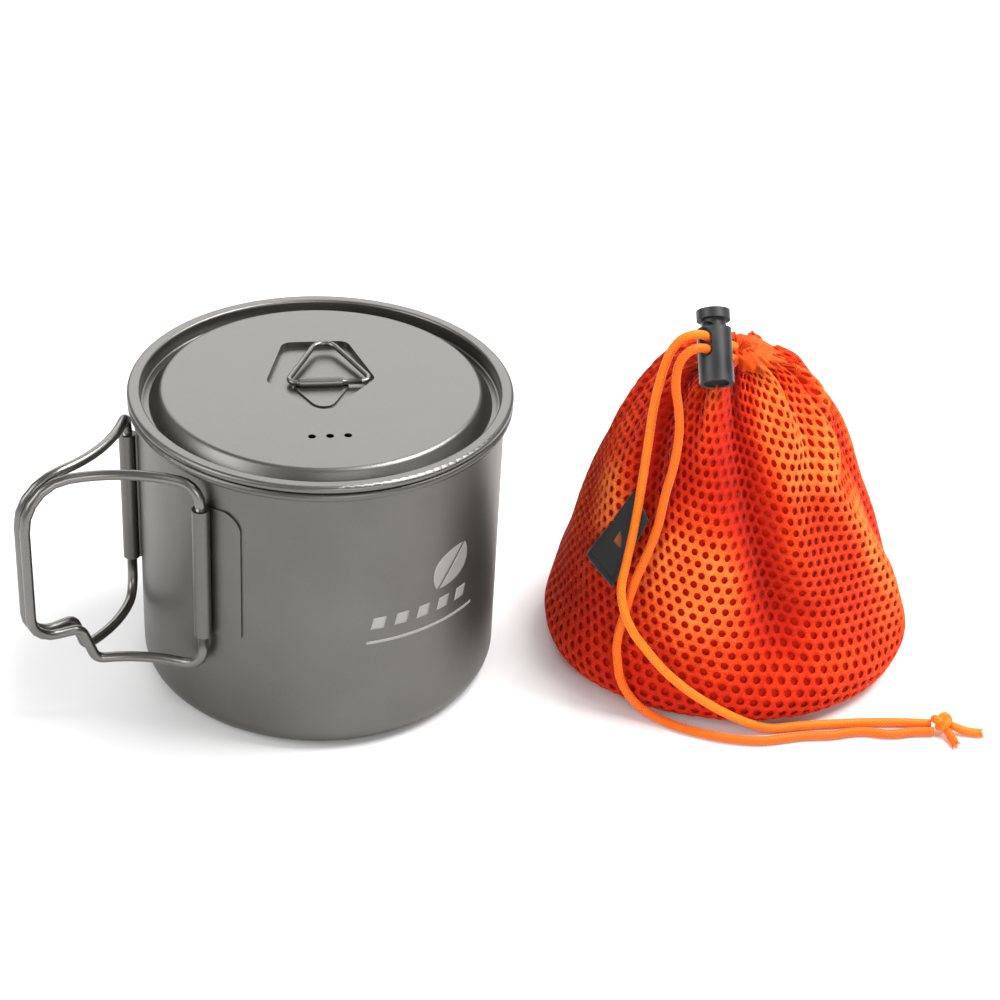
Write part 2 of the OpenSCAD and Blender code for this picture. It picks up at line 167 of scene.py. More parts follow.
CORD_D = 2.4
ROUTE_A = [
    (107.2, 5, 92.4), (104.8, 3.3, 94.2), (102.8, 1.7, 95.7), (100.7, 0.2, 97.2), (98.6, -1.4, 98.7),
    (96.9, -2.6, 99.9), (94.2, -3.5, 100.4), (91.3, -3.6, 98.9), (89, -3.4, 95), (87.4, -3.4, 88.5),
    (86, -4.5, 80), (85, -8, 73), (83.5, -13, 62), (82, -17, 51), (80.2, -20.9, 42.2), (78.8, -24.9, 36.2),
    (79.7, -28.3, 31), (82, -30.5, 26.5), (85, -31.5, 22.5), (90.5, -34.5, 17), (97, -37.5, 12.5),
    (105, -39.5, 8), (113, -40, 4), (120, -39.5, 1.6), (129, -38, 1.35), (140, -37, 1.35),
    (148.5, -36.5, 1.35), (156.5, -36.5, 1.35), (164, -37, 1.35),
]
ROUTE_B = [
    (107, 2.4, 90.2), (104.9, 0.8, 91.7), (102.8, -0.8, 93.2), (100.8, -2.3, 94.8), (98.7, -3.9, 96.3),
    (97.3, -4.9, 97.3), (95.3, -6, 97.8), (93, -6.8, 97), (91.2, -7.3, 94.7), (90.5, -7.7, 91.5),
    (90.6, -8.3, 87), (91.6, -9.4, 82), (92, -11.8, 76), (91, -15, 68.5), (89, -18, 61), (87.5, -20.5, 53),
    (85, -22.5, 45), (82.5, -23.5, 37.5), (80.5, -25, 29.5), (79, -26, 21), (79, -27.5, 16),
    (80.5, -30.5, 9.5), (85, -33, 4), (91.5, -36.5, 1.6), (99, -40.5, 1.35), (108, -43.5, 1.35),
    (117, -44.5, 1.35), (128, -42.5, 1.35), (136, -42, 1.35), (144, -40.5, 1.35), (152, -41.5, 1.35),
    (159, -40.5, 1.35), (164, -40.5, 1.35),
]
KNOT_AT = np.array((166.5, -38.6, 3.4))
TAIL_A = [(168.5, -39, 2.6), (173, -40.2, 1.35), (177, -41, 1.35)]
TAIL_B = [(167.3, -40.6, 2.6), (168.3, -43, 1.35), (169, -45.5, 1.35)]

strand_a, path_a = braid_tube("strand_a", catmull(ROUTE_A, 10), CORD_D)
strand_b, path_b = braid_tube("strand_b", catmull(ROUTE_B, 10), CORD_D)

# the knot: one cord wound on itself
KNOT_D = 2.2
KNOT_SCALE = np.array((0.72, 0.72, 0.85))
KNOT_DROP = np.array((0, 0, 0.1))
angle = np.linspace(0, 2 * np.pi, 160)
knot_run = np.stack([np.sin(angle) + 2 * np.sin(2 * angle), -np.sin(3 * angle) * 0.9,
                     np.cos(angle) - 2 * np.cos(2 * angle)], axis=1)
knot_run = knot_run[:, [0, 2, 1]] * KNOT_SCALE + KNOT_AT - KNOT_DROP
knot, _ = braid_tube("knot", knot_run, KNOT_D, sides=24, step=0.18, relief=0.12, closed=True)

TAIL_D = 2.3
tails = []
for name, route in (("tail_a", TAIL_A), ("tail_b", TAIL_B)):
    tail, _ = braid_tube(name, catmull(route, 10), TAIL_D, sides=26, relief=0.12, taper=1.0)
    tails.append(tail)

FIBRES = 34
FIBRE_SIDES = 4
FIBRE_LOWEST = 0.15
UP = np.array((0, 0, 1.0))


def tail_fibres():
    """Loose fibres at the two cut ends, each a short bent thread."""
    rng = random.Random(7)
    verts, faces = [], []
    for route in (TAIL_A, TAIL_B):
        end = np.array(route[-1], float)
        ahead = end - np.array(route[-2], float)
        ahead /= np.linalg.norm(ahead)
        side = np.cross(ahead, UP)
        side /= np.linalg.norm(side)
        for _ in range(FIBRES):
            off = np.array([rng.uniform(-1, 1) for _ in range(3)])
            off -= ahead * np.dot(off, ahead)
            off *= 1.0 / max(1.0, np.linalg.norm(off))
            start = end - ahead * 0.9 + off * 0.75
            aim = ahead * rng.uniform(0.9, 2.3) + off * rng.uniform(0.2, 1.3)
            points = [start, start + aim * 0.5 + off * 0.1, start + aim]
            points = [np.array((q[0], q[1], max(q[2], FIBRE_LOWEST))) for q in points]
            thick = rng.uniform(0.06, 0.11)
            base = len(verts)
            for q, r in zip(points, (thick, thick * 0.9, thick * 0.35)):
                for c in range(FIBRE_SIDES):
                    a = c * math.pi / 2
                    verts.append(q + r * (math.cos(a) * side + math.sin(a) * UP))
            for i in range(2):
                low, high = base + i * FIBRE_SIDES, base + (i + 1) * FIBRE_SIDES
                for c in range(FIBRE_SIDES):
                    c2 = (c + 1) % FIBRE_SIDES
                    faces.append((low + c, low + c2, high + c2, high + c))
            faces.append((base + 3, base + 2, base + 1, base))
            faces.append((base + 8, base + 9, base + 10, base + 11))
    return add_mesh("tail_fibres", verts, faces, [(0.5, 0.8)] * len(verts))


frays = tail_fibres()

# the cord inside the channel
LOOP_AT = (108.5, 8, 89.6)
LOOP_R = 5.2
angle = np.linspace(0, 2 * np.pi, 121)
loop_run = np.stack([LOOP_AT[0] + LOOP_R * np.cos(angle), LOOP_AT[1] + LOOP_R * np.sin(angle),
                     LOOP_AT[2] + 0 * angle], axis=1)
channel_loop, _ = braid_tube("channel_loop", loop_run, CORD_D, sides=24, step=0.18, closed=True)

# ---------------------------------------------------------------- bag surface

BAG = [  # height, centre in X and Y, half width, half depth, from the floor up
    (0, 113, 7, 41, 39), (1.5, 113.2, 7, 45.5, 42.5), (4, 113.5, 7, 48.2, 45), (8.5, 113.7, 7, 49.2, 45.3),
    (14, 113.5, 7.5, 48.2, 43.6), (24, 112, 8, 45.6, 41.2), (36, 111, 8, 41.8, 37.3), (48, 110, 8, 37.8, 33.3),
    (60, 109, 8, 33.6, 29.2), (71, 108.5, 8, 28.5, 24), (80, 108, 8, 22.5, 18), (86, 108, 8, 17.5, 12.5),
    (88.5, 108.5, 8, 12.5, 10), (90.5, 108.5, 8, 9, 8.5), (92, 108.5, 8, 7.4, 7.2), (93.2, 108.5, 8, 7.2, 7),
]
levels = catmull(BAG, 14)
mean_r = (levels[:, 3] + levels[:, 4]) / 2
run = np.concatenate([[0], np.cumsum(np.hypot(np.diff(levels[:, 0]), np.diff(mean_r)))])


def level_at(t):
    """Height, centre and half sizes of the bag's outline at run t up its side."""
    return [np.interp(t, run, levels[:, j]) for j in range(5)]


def bump_at(phi, centre, width):
    """A smooth bump round the bag: 1 at the centre direction, falling away within the width."""
    d = (phi - centre + np.pi) % (2 * np.pi) - np.pi
    return np.exp(-(d / width) ** 2)


def rise(z, lo, hi):
    """From 0 below lo to 1 above hi, smoothly."""
    x = np.clip((z - lo) / (hi - lo), 0, 1)
    return x * x * (3 - 2 * x)


D2R = math.pi / 180
RIDGES = [  # direction at three heights, width, height, from z, to z
    (-22, -47, -22, 10, 3.6, 14, 86), (-78, -88, -92, 9, -5.5, 20, 90), (-66, -68, -62, 8, 2.0, 40, 92),
    (-110, -108, -112, 17, 2.6, 20, 54), (-112, -112, -114, 10, 1.6, 58, 90),
    (-132, -134, -138, 9, -2.4, 40, 86), (-152, -154, -160, 12, 2.0, 34, 84),
    (-2, -8, -2, 9, -2.4, 18, 82), (14, 10, 5, 12, 1.8, 12, 84),
    (36, 38, 40, 8, -2.4, 18, 88), (62, 62, 62, 11, 2.0, 14, 86), (95, 95, 95, 8, -2.2, 16, 88),
    (125, 125, 125, 12, 2.0, 12, 84), (156, 158, 160, 8, -2.2, 20, 86),
]
RIDGE_Z = (32, 62, 84)


def fold(phi, z):
    """How far the cloth stands out of the bag's plain outline, in mm."""
    f = np.zeros(np.broadcast(phi, z).shape)
    for low, mid, high, width, height, lo, hi in RIDGES:
        at = np.interp(z, RIDGE_Z, (low, mid, high))
        env = rise(z, lo - 12, lo + 14) * (1 - 0.55 * rise(z, hi - 6, hi + 12))
        f = f + height * bump_at(phi, at * D2R, width * D2R) * env
    pleat = rise(z, 52, 88) ** 1.5
    wobble = 0.35 * np.sin(3 * phi + 1.0) + 0.25 * np.sin(5 * phi + 2.2)
    f = f + pleat * 1.5 * np.sin(17 * phi + 3 * wobble + 0.02 * z)
    f = f + pleat * 0.6 * np.sin(29 * phi + 1.3 + 4 * wobble)
    dent = 0.5 * np.sin(4 * phi + 0.09 * z + 0.6) * np.sin(0.11 * z + 2 * np.sin(phi * 2 + 0.4))
    f = f + dent * 1.3 * rise(z, 2, 14)
    sag = (0.9 + 1.8 * bump_at(phi, -150 * D2R, 28 * D2R)) * rise(z, 0.3, 3) * (1 - rise(z, 9, 22))
    return f * rise(z, 1.5, 10) + sag


# spots of painted light on the cloth: paler ones are painted highlights, deeper ones painted shade
PAINTED_LIGHT_SPOTS = [  # direction, height, reach round, reach up, how much paler or, below 0, deeper the cloth is there
    (-112, 40, 24, 13, 0.75), (-62, 76, 24, 15, 0.95), (-27, 46, 9, 14, 0.6), (-152, 54, 14, 9, 0.5),
    (-60, 18, 50, 16, 0.18), (20, 60, 30, 20, 0.4), (90, 40, 40, 20, 0.4), (160, 40, 30, 20, 0.35),
    (-96, 66, 22, 13, -0.45), (-135, 70, 18, 12, -0.4), (-150, 26, 20, 14, -0.3), (-120, 9, 60, 8, -0.45),
]


def painted_light(phi, z):
    """Painted light on the cloth, from 0 to 1: paler as a painted highlight on its ridges, deeper as painted
    shade in its folds, and set by the listed spots of painted light and shade.
    """
    c = 0.34 + 0.11 * fold(phi, z)
    for at, up, wide, tall, gain in PAINTED_LIGHT_SPOTS:
        c = c + gain * bump_at(phi, at * D2R, wide * D2R) * np.exp(-((z - up) / tall) ** 2)
    return np.clip(c, 0, 1)


def store_painted_light(ob, u, t):
    """Keeps the painted light per vertex, for the cloth's material: painted highlights and painted shade."""
    z = level_at(t)[0]
    layer = ob.data.attributes.new("painted_light", "FLOAT", "POINT")
    layer.data.foreach_set("value", np.asarray(painted_light(2 * np.pi * u, z), np.float32).ravel())


def cloth(u, t, inset=0.0):
    """A point on the bag's cloth: u round it from 0 to 1, t up its side in mm."""
    u, t = np.broadcast_arrays(np.asarray(u, float), np.asarray(t, float))
    z, cx, cy, ax, ay = level_at(t)
    phi = 2 * np.pi * u
    out = fold(phi, z) - inset
    return np.stack([cx + (ax + out) * np.cos(phi), cy + (ay + out) * np.sin(phi), z], axis=-1)


# ---------------------------------------------------------------- bag: mesh cloth with round holes

NET_N, NET_M = 78, 14
CLOTH_W = 292.0
pitch = CLOTH_W / math.sqrt(NET_N ** 2 + NET_N * NET_M + NET_M ** 2)
tilt = -math.atan2(NET_M * math.sqrt(3) / 2, NET_N + NET_M / 2)
b1 = pitch * np.array((math.cos(tilt), math.sin(tilt)))
b2 = pitch * np.array((math.cos(tilt + math.pi / 3), math.sin(tilt + math.pi / 3)))
T_TOP = float(np.interp(89.2, levels[:, 0], run))
HOLE_R = 0.98
HEX_R = pitch / math.sqrt(3)


def net_cells(width, lo, hi):
    """Centres of the mesh's cells on a flat strip of cloth, from a grid that more than covers it."""
    cells = []
    for i in range(-120, 200):
        for j in range(-40, 90):
            s, t = i * b1 + j * b2
            if -1e-6 <= s < width - 1e-6 and lo <= t <= hi:
                cells.append((s, t))
    return cells


NET_THICK = 0.75
HOLE_SINK = 0.38


def net_mesh(name, cells, place, wrap, hole=HOLE_R, sink=HOLE_SINK):
    """Cloth of hexagon cells, each with a round hole, put on a surface by place(s, t, sink)."""
    flat, keys, faces = [], {}, []
    deep = []

    def corner_id(s, t):
        if wrap:
            s = s % wrap
        key = (round(s * 20) % round((wrap or 1e9) * 20), round(t * 20))
        for ds in (-1, 0, 1):
            for dt in (-1, 0, 1):
                k2 = (key[0] + ds, key[1] + dt)
                if k2 in keys:
                    return keys[k2]
        keys[key] = len(flat)
        flat.append((s, t))
        deep.append(0.0)
        return keys[key]

    for s, t in cells:
        corners, ring = [], []
        for q in range(6):
            a = tilt + math.pi / 6 + q * math.pi / 3
            corners.append(corner_id(s + HEX_R * math.cos(a), t + HEX_R * math.sin(a)))
        for q in range(12):
            a = tilt + math.pi / 6 + q * math.pi / 6
            ring.append(len(flat))
            flat.append((s + hole * math.cos(a), t + hole * math.sin(a)))
            deep.append(sink)
        for q in range(6):
            faces.append((corners[q], corners[(q + 1) % 6],
                          ring[(2 * q + 2) % 12], ring[2 * q + 1], ring[2 * q]))
    flat = np.array(flat)
    return add_mesh(name, place(flat[:, 0], flat[:, 1], np.array(deep)), faces, flat / 10), flat


cells = net_cells(CLOTH_W, 1.0, T_TOP)
net, net_flat = net_mesh("bag_net", cells, lambda s, t, d: cloth(s / CLOTH_W, t, d), CLOTH_W)
store_painted_light(net, net_flat[:, 0] / CLOTH_W, net_flat[:, 1])
thick = net.modifiers.new("thick", "SOLIDIFY")
thick.thickness = NET_THICK * MM
thick.offset = -1


def ring_grid(us, ts, place, uv_scale):
    """A closed band of cloth: its vertices, faces and uvs."""
    around = len(us)
    uu, tt = np.meshgrid(us, ts)
    verts = place(uu, tt).reshape(-1, 3)
    uv = np.stack([uu * uv_scale[0], tt * uv_scale[1]], axis=-1).reshape(-1, 2)
    faces = []
    for i in range(len(ts) - 1):
        for q in range(around):
            q2 = (q + 1) % around
            faces.append((i * around + q, i * around + q2, (i + 1) * around + q2, (i + 1) * around + q))
    return verts, faces, uv


def close_rows(faces, prev, start, around, count, downward):
    """Joins rows of vertices, which begin at start, to the row at prev, and closes the last one."""
    for i in range(count):
        cur = start + i * around
        for q in range(around):
            q2 = (q + 1) % around
            if downward:
                faces.append((prev + q2, prev + q, cur + q, cur + q2))
            else:
                faces.append((prev + q, prev + q2, cur + q2, cur + q))
        prev = cur
    order = range(around - 1, -1, -1) if downward else range(around)
    faces.append(tuple(prev + q for q in order))


UV_SCALE = (CLOTH_W / 10, 0.1)
BACKING_INSET = 1.35
BASE_MID = np.array((113, 7, 0.45))
BASE_ROWS = 12


def backing():
    """The backing face under the mesh, coloured a deeper red as painted shade seen through the holes, with its
    base drawn in towards its middle.
    """
    us = np.arange(300) / 300
    ts = np.linspace(0, T_TOP, 90)
    verts, faces, uv = ring_grid(us, ts, lambda u, t: cloth(u, t, BACKING_INSET), UV_SCALE)
    around = len(us)
    edge = verts[:around].copy()
    rows, row_uvs = [], []
    for i in range(1, BASE_ROWS + 1):
        row = BASE_MID + (edge - BASE_MID) * max(1 - i / BASE_ROWS, 0.02)
        row[:, 2] = BASE_MID[2]
        rows.append(row)
        row_uvs.append(np.stack([us * CLOTH_W / 10 * (1 - i / BASE_ROWS), np.full(around, -0.36 * i)], axis=-1))
    close_rows(faces, 0, len(verts), around, BASE_ROWS, downward=True)
    return add_mesh("bag_backing", np.vstack([verts] + rows), faces, np.vstack([uv] + row_uvs))


skin = backing()

# the same mesh cloth under the base
BASE_HALF = (41.0, 39.0)
base_cells = []
for i in range(-24, 25):
    for j in range(-24, 25):
        s, t = i * b1 + j * b2
        if math.hypot(s / BASE_HALF[0], t / BASE_HALF[1]) < 0.97:
            base_cells.append((s, t))
base_net, _ = net_mesh("bag_base", base_cells,
                       lambda s, t, d: np.stack([113 + s, 7 - t, 0.05 + 0.3 * (d > 0)], axis=-1), None)

# the gathered channel at the mouth
HEM_PLEATS = 21
MOUTH = np.array((108.5, 8))


def gather(u, t):
    """A point on the channel, in close pleats, which turns in at its top."""
    z, cx, cy, ax, ay = level_at(t)
    phi = 2 * np.pi * u
    neck = rise(z, 87, 91.5)
    wobble = 0.5 * np.sin(3 * phi + 0.7) + 0.3 * np.sin(7 * phi)
    pleat = 0.55 * np.sin(HEM_PLEATS * phi + 2.2 * wobble) + 0.35 * np.sin(13 * phi + wobble)
    out = fold(phi, z) * (1 - neck) + neck * (pleat - 0.9)
    over = rise(z, 90.8, 93.2)
    return np.stack([cx + (ax + out - 1.6 * over) * np.cos(phi), cy + (ay + out - 1.6 * over) * np.sin(phi),
                     z - 1.5 * over + 0.25 * over * np.sin(5 * phi + 0.5)], axis=-1)


def make_hem():
    """The channel, with its top edge turned in and down into the mouth."""
    us = np.arange(420) / 420
    ts = np.linspace(float(np.interp(88.2, levels[:, 0], run)), run[-1], 60)
    verts, faces, uv = ring_grid(us, ts, gather, UV_SCALE)
    around = len(us)
    top = verts[-around:].copy()
    rows, row_uvs = [], []
    for shrink, dz in ((0.9, 0.35), (0.72, -0.2), (0.5, -1.6), (0.3, -3.2)):
        row = top.copy()
        row[:, :2] = MOUTH + (top[:, :2] - MOUTH) * shrink
        row[:, 2] = top[:, 2] + dz
        row_uvs.append(np.stack([us * CLOTH_W / 10, np.full(around, 11 + 0.15 * len(rows))], axis=-1))
        rows.append(row)
    close_rows(faces, len(verts) - around, len(verts), around, len(rows), downward=False)
    verts = np.vstack([verts] + rows)
    ob = add_mesh("bag_hem_cloth", verts, faces, np.vstack([uv] + row_uvs))
    # painted light: the channel is paler as a painted highlight on its side towards +X and deeper as painted
    # shade on the far side
    painted_side_light = np.clip(0.5 + 0.25 * np.cos(np.arctan2(verts[:, 1] - MOUTH[1], verts[:, 0] - MOUTH[0])), 0, 1)
    ob.data.attributes.new("painted_light", "FLOAT", "POINT").data.foreach_set("value", painted_side_light.astype(np.float32))
    return ob


hem = make_hem()

# ---------------------------------------------------------------- label

LABEL_AT = Vector((78.7, -14.5, 43.3))
LABEL_FACES = -139
LABEL_LEAN = 20.5
label_turn = (Matrix.Rotation((LABEL_FACES + 90) * D2R, 4, "Z")
              @ Matrix.Rotation((90 - LABEL_LEAN) * D2R, 4, "X"))
KITE = [(-8.4, -7.2), (2.8, -11.4), (6.9, 9.9), (-0.6, 15.2)]


def on_label(x, y, lift):
    """A point on the label's plane, lifted off it."""
    q = LABEL_AT + (label_turn @ Vector((x, y, lift)))
    return (q.x, q.y, q.z)


def kite_point(a, b):
    """A point of the kite, from 0 to 1 along its two pairs of sides."""
    (x0, y0), (x1, y1), (x2, y2), (x3, y3) = KITE
    x = (1 - a) * (1 - b) * x0 + a * (1 - b) * x1 + a * b * x2 + (1 - a) * b * x3
    y = (1 - a) * (1 - b) * y0 + a * (1 - b) * y1 + a * b * y2 + (1 - a) * b * y3
    return x, y


LABEL_GRID = 36
LABEL_THICK = 0.55


def make_label():
    """The kite of cloth, with a pressed line under its stitches and a slight wave."""
    verts, faces, uvs = [], [], []
    for i in range(LABEL_GRID + 1):
        for j in range(LABEL_GRID + 1):
            a, b = i / LABEL_GRID, j / LABEL_GRID
            x, y = kite_point(a, b)
            rim = np.array(min(a, 1 - a, b, 1 - b))
            lift = 0.75 + 0.22 * rise(rim, 0.0, 0.03) - 0.2 * float(bump_at(rim, STITCH_IN, 0.02))
            lift += 0.12 * math.sin(x * 0.5 + y * 0.3)
            verts.append(on_label(x, y, float(lift)))
            uvs.append((x / 10, y / 10))
    for i in range(LABEL_GRID):
        for j in range(LABEL_GRID):
            q = i * (LABEL_GRID + 1) + j
            faces.append((q, q + LABEL_GRID + 1, q + LABEL_GRID + 2, q + 1))
    ob = add_mesh("label", verts, faces, uvs)
    solid = ob.modifiers.new("thick", "SOLIDIFY")
    solid.thickness = LABEL_THICK * MM
    solid.offset = -1
    return ob


STITCH_IN = 0.075
STITCH_SIDES = 8
STITCHES = 11
STITCH_R = 0.17
THREADS = 6
THREAD_R = 0.14


def add_stitch(verts, faces, p, q, r):
    """A rounded length of thread from p to q."""
    d = np.array(q) - np.array(p)
    length = np.linalg.norm(d)
    d /= length
    side = np.cross(d, (0.3, 0.5, 0.8))
    side /= np.linalg.norm(side)
    top = np.cross(d, side)
    base = len(verts)
    profile = [(0, 0.2), (0.15, 0.85), (0.5, 1.0), (0.85, 0.85), (1, 0.2)]
    for at, share in profile:
        for c in range(STITCH_SIDES):
            a = c * math.pi / 4
            verts.append(np.array(p) + d * length * at + r * share * (math.cos(a) * side + math.sin(a) * top))
    for i in range(len(profile) - 1):
        low, high = base + i * STITCH_SIDES, base + (i + 1) * STITCH_SIDES
        for c in range(STITCH_SIDES):
            c2 = (c + 1) % STITCH_SIDES
            faces.append((low + c, low + c2, high + c2, high + c))
    last = base + (len(profile) - 1) * STITCH_SIDES
    faces.append(tuple(base + c for c in range(STITCH_SIDES - 1, -1, -1)))
    faces.append(tuple(last + c for c in range(STITCH_SIDES)))


def label_stitches():
    """A row of stitches inside each of the label's four sides."""
    verts, faces = [], []
    far = 1 - STITCH_IN
    for side in range(4):
        for i in range(STITCHES):
            ends = []
            for step in ((i + 0.14) / STITCHES * 0.85 + STITCH_IN, (i + 0.86) / STITCHES * 0.85 + STITCH_IN):
                a, b = ((step, STITCH_IN), (far, step), (1 - step, far), (STITCH_IN, 1 - step))[side]
                ends.append(on_label(*kite_point(a, b), 0.92))
            add_stitch(verts, faces, ends[0], ends[1], STITCH_R)
    return add_mesh("label_stitches", verts, faces, [(0.5, 0.5)] * len(verts))


def label_threads():
    """A plain block of orange threads woven across the label's middle."""
    verts, faces = [], []
    for i in range(THREADS):
        across = 0.42 + i * 0.05
        p, q = kite_point(across, 0.42), kite_point(across, 0.66)
        add_stitch(verts, faces, on_label(*p, 0.95), on_label(*q, 0.95), THREAD_R)
    return add_mesh("label_threads", verts, faces, [(0.5, 0.8)] * len(verts))


label = make_label()
stitches = label_stitches()
threads = label_threads()

# ---------------------------------------------------------------- mark on the pot: a plain leaf with bars

WALL_R = 47.53
MARK_FACES = 305
MARK_THICK = 0.03


def on_wall(x, z):
    """A point on the pot's wall, x mm round it from the middle of the mark."""
    a = MARK_FACES * D2R + x / WALL_R
    return (WALL_R * math.cos(a), WALL_R * math.sin(a), z)


mark_verts, mark_faces = [], []


def wall_grid(rows, cols, point):
    """Adds a patch of the mark; point gives its x and z from 0 to 1 both ways."""
    base = len(mark_verts)
    for i in range(rows + 1):
        for j in range(cols + 1):
            mark_verts.append(on_wall(*point(i / rows, j / cols)))
    for i in range(rows):
        for j in range(cols):
            q = base + i * (cols + 1) + j
            mark_faces.append((q, q + 1, q + cols + 2, q + cols + 1))


def leaf(side):
    """One half of the leaf, on the given side of its middle line."""
    def point(i, j):
        w = 4.6 * math.sin(math.pi * i) ** 0.75
        return (8.0 + side * (0.35 + j * w) + (i - 0.5) * 9.0, 44.0 + i * 10.5 - side * j * w * 0.55)
    return point


wall_grid(24, 8, leaf(1))
wall_grid(24, 8, lambda i, j: leaf(-1)(i, 1 - j))
for bar in range(5):
    x0 = -16.0 + bar * 6.4
    wall_grid(6, 5, lambda i, j, x0=x0: (x0 + j * 3.6 + i * 0.8, 37.5 + i * 3.4))
wall_grid(2, 40, lambda i, j: (-17.0 + j * 34.0, 33.0 + i * 0.9))
mark = add_mesh("wall_mark", mark_verts, mark_faces)
mark_solid = mark.modifiers.new("thick", "SOLIDIFY")
mark_solid.thickness = MARK_THICK * MM
mark_solid.offset = 0


# ---------------------------------------------------------------- materials

def new_material(name):
    """A material, its nodes, its links and its shader."""
    m = bpy.data.materials.new(name)
    m.use_nodes = True
    return m, m.node_tree.nodes, m.node_tree.links, m.node_tree.nodes["Principled BSDF"]


def grey(v):
    return (v, v, v, 1)


def ramp(n, l, source, stops, target):
    """Feeds a shader's input from a source, through a colour ramp."""
    made = n.new("ShaderNodeValToRGB")
    marks = made.color_ramp.elements
    marks[0].position, marks[0].color = stops[0]
    marks[1].position, marks[1].color = stops[-1]
    for place, colour in stops[1:-1]:
        marks.new(place).color = colour
    l.new(source, made.inputs["Fac"])
    l.new(made.outputs["Color"], target)


def noise(n, l, source, scale, detail=2):
    made = n.new("ShaderNodeTexNoise")
    made.inputs["Scale"].default_value = scale
    made.inputs["Detail"].default_value = detail
    l.new(source, made.inputs["Vector"])
    return made.outputs["Fac"]


def blend(n, l, share, first, second):
    """Two values mixed, with this share of the second."""
    made = n.new("ShaderNodeMix")
    made.data_type = "FLOAT"
    made.inputs[0].default_value = share
    l.new(first, made.inputs[2])
    l.new(second, made.inputs[3])
    return made.outputs[0]


def math_node(n, l, kind, first, second):
    """A sum or product of two values; the second may be a plain number."""
    made = n.new("ShaderNodeMath")
    made.operation = kind
    l.new(first, made.inputs[0])
    if isinstance(second, float):
        made.inputs[1].default_value = second
    else:
        l.new(second, made.inputs[1])
    return made


def bump(n, l, b, height, strength, distance_mm, invert=False):
    made = n.new("ShaderNodeBump")
    made.inputs["Strength"].default_value = strength
    made.inputs["Distance"].default_value = distance_mm * MM
    made.invert = invert
    l.new(height, made.inputs["Height"])
    l.new(made.outputs["Normal"], b.inputs["Normal"])


def object_place(n):
    return n.new("ShaderNodeTexCoord").outputs["Object"]


def cloth_place(n):
    made = n.new("ShaderNodeUVMap")
    made.uv_map = "UVMap"
    return made.outputs["UV"]


def titanium(name, tone, rough, grain=1.0):
    """Bead-blasted titanium: fine grain and faint cloudy patches of tone and gloss."""
    m, n, l, b = new_material(name)
    place = object_place(n)
    fine = noise(n, l, place, 3200)
    cloud = noise(n, l, place, 38, 4)
    blast = n.new("ShaderNodeTexVoronoi")
    blast.inputs["Scale"].default_value = 1900
    l.new(place, blast.inputs["Vector"])
    shade = blend(n, l, 0.35, cloud, fine)
    lo = tuple(t * 0.86 for t in tone) + (1,)
    hi = tuple(min(1, t * 1.14) for t in tone) + (1,)
    ramp(n, l, shade, [(0.3, lo), (0.7, hi)], b.inputs["Base Color"])
    ramp(n, l, shade, [(0.25, grey(rough - 0.05)), (0.75, grey(rough + 0.07))], b.inputs["Roughness"])
    grit = math_node(n, l, "ADD", fine, blast.outputs["Distance"])
    bump(n, l, b, grit.outputs[0], 0.16 * grain, 0.05)
    b.inputs["Metallic"].default_value = 1
    return m


def knit(name, dark, mid, light, strength, sheen=0.02, use_painted_light=False):
    """Fine knitted polyester, in cloth coordinates of 10 mm a unit; if asked, it is made paler by painted
    highlights and deeper by painted shade, from a per-vertex attribute.
    """
    m, n, l, b = new_material(name)
    place = cloth_place(n)
    turned = n.new("ShaderNodeMapping")
    turned.inputs["Rotation"].default_value = (0, 0, 0.7)
    l.new(place, turned.inputs["Vector"])
    loops = n.new("ShaderNodeTexVoronoi")
    loops.inputs["Scale"].default_value = 26
    loops.inputs["Randomness"].default_value = 0.55
    rows = n.new("ShaderNodeTexWave")
    rows.inputs["Scale"].default_value = 14
    rows.inputs["Distortion"].default_value = 1.5
    rows.inputs["Detail"].default_value = 1
    for texture in (loops, rows):
        l.new(turned.outputs["Vector"], texture.inputs["Vector"])
    patches = noise(n, l, place, 1.3, 5)
    yarns = blend(n, l, 0.45, loops.outputs["Distance"], rows.outputs["Fac"])
    shade = blend(n, l, 0.35, yarns, patches)
    # painted light: the per-vertex value makes the colour paler as a painted highlight on ridges and lit spots,
    # and deeper as painted shade in folds
    if use_painted_light:
        attr = n.new("ShaderNodeAttribute")
        attr.attribute_name = "painted_light"
        painted_paler = math_node(n, l, "MULTIPLY_ADD", attr.outputs["Fac"], -0.52)
        l.new(shade, painted_paler.inputs[2])
        shade = math_node(n, l, "ADD", painted_paler.outputs[0], 0.3).outputs[0]
    stops = [(0.12, light + (1,)), (0.42, mid + (1,)), (0.75, dark + (1,))]
    ramp(n, l, shade, stops, b.inputs["Base Color"])
    ramp(n, l, yarns, [(0.2, grey(0.5)), (0.8, grey(0.72))], b.inputs["Roughness"])
    bump(n, l, b, yarns, strength, 0.12, invert=True)
    b.inputs["Specular IOR Level"].default_value = 0.12
    b.inputs["Sheen Weight"].default_value = sheen
    b.inputs["Sheen Roughness"].default_value = 0.4
    b.inputs["Sheen Tint"].default_value = light + (1,)
    return m


def cord_material(name, deep, mid, light):
    """Braided polyester: the relief kept in the uv paints shade into the gaps between yarns, and noise breaks
    up the yarns.
    """
    m, n, l, b = new_material(name)
    parts = n.new("ShaderNodeSeparateXYZ")
    l.new(cloth_place(n), parts.inputs["Vector"])
    fibres = noise(n, l, object_place(n), 1400, 3)
    shade = blend(n, l, 0.3, parts.outputs["Y"], fibres)
    stops = [(0.2, deep + (1,)), (0.55, mid + (1,)), (0.95, light + (1,))]
    ramp(n, l, shade, stops, b.inputs["Base Color"])
    ramp(n, l, fibres, [(0.3, grey(0.42)), (0.7, grey(0.62))], b.inputs["Roughness"])
    bump(n, l, b, fibres, 0.4, 0.05)
    b.inputs["Specular IOR Level"].default_value = 0.2
    b.inputs["Sheen Weight"].default_value = 0.04
    return m


